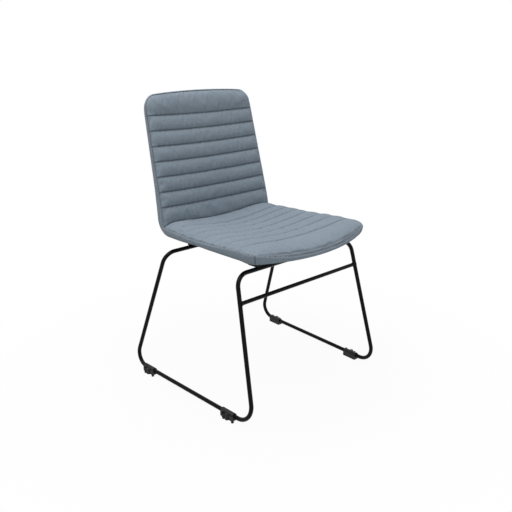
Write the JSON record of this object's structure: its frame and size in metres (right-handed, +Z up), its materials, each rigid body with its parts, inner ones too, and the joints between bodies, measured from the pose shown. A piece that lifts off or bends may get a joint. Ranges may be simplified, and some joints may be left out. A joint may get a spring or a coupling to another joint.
{
  "type": "visitor chair",
  "caption": "Armless visitor chair: a padded one-piece shell with horizontal sewn channels on a bent rod sled base with linking glides.",
  "frame": {"origin": "on the floor under the middle of the chair", "axes": "+Z up, -Y towards the front of the seat, +X to the right as seen by someone who looks along +Y at the front of the chair"},
  "size_m": [0.5813, 0.5396, 0.8342],
  "materials": {
    "frame_black": "gloss black powder coat",
    "black_steel": "black oxide steel",
    "zinc_steel": "bright zinc plate",
    "plywood": "moulded beech plywood, unfinished",
    "foam": "cut polyurethane foam",
    "seat_fabric": "blue-grey woven wool, quilted",
    "rear_fabric": "blue-grey woven wool, plain",
    "edge_fabric": "blue-grey woven wool band, top-stitched",
    "glide_black": "black moulded nylon"
  },
  "bodies": {
    "root": {"left_sled_rod": "frame_black", "right_sled_rod": "frame_black", "crossbar_butt_welds": "frame_black", "front_brace": "frame_black", "brace_welds": "frame_black", "front_mounting_tabs": "frame_black", "rear_mounting_tabs": "frame_black", "tab_welds": "frame_black", "shell_bolts": "black_steel", "shell_washers": "zinc_steel", "tee_nuts": "zinc_steel", "plywood_shell": "plywood", "seat_foam": "foam", "back_foam": "foam", "quilted_seat_cover": "seat_fabric", "quilted_back_cover": "seat_fabric", "rear_cover": "rear_fabric", "left_boxing": "edge_fabric", "right_boxing": "edge_fabric", "front_boxing": "edge_fabric", "top_boxing": "edge_fabric", "left_front_glide": "glide_black", "left_rear_glide": "glide_black", "right_front_glide": "glide_black", "right_rear_glide": "glide_black", "glide_soles": "glide_black", "glide_screws": "zinc_steel"}
  },
  "joints": []
}
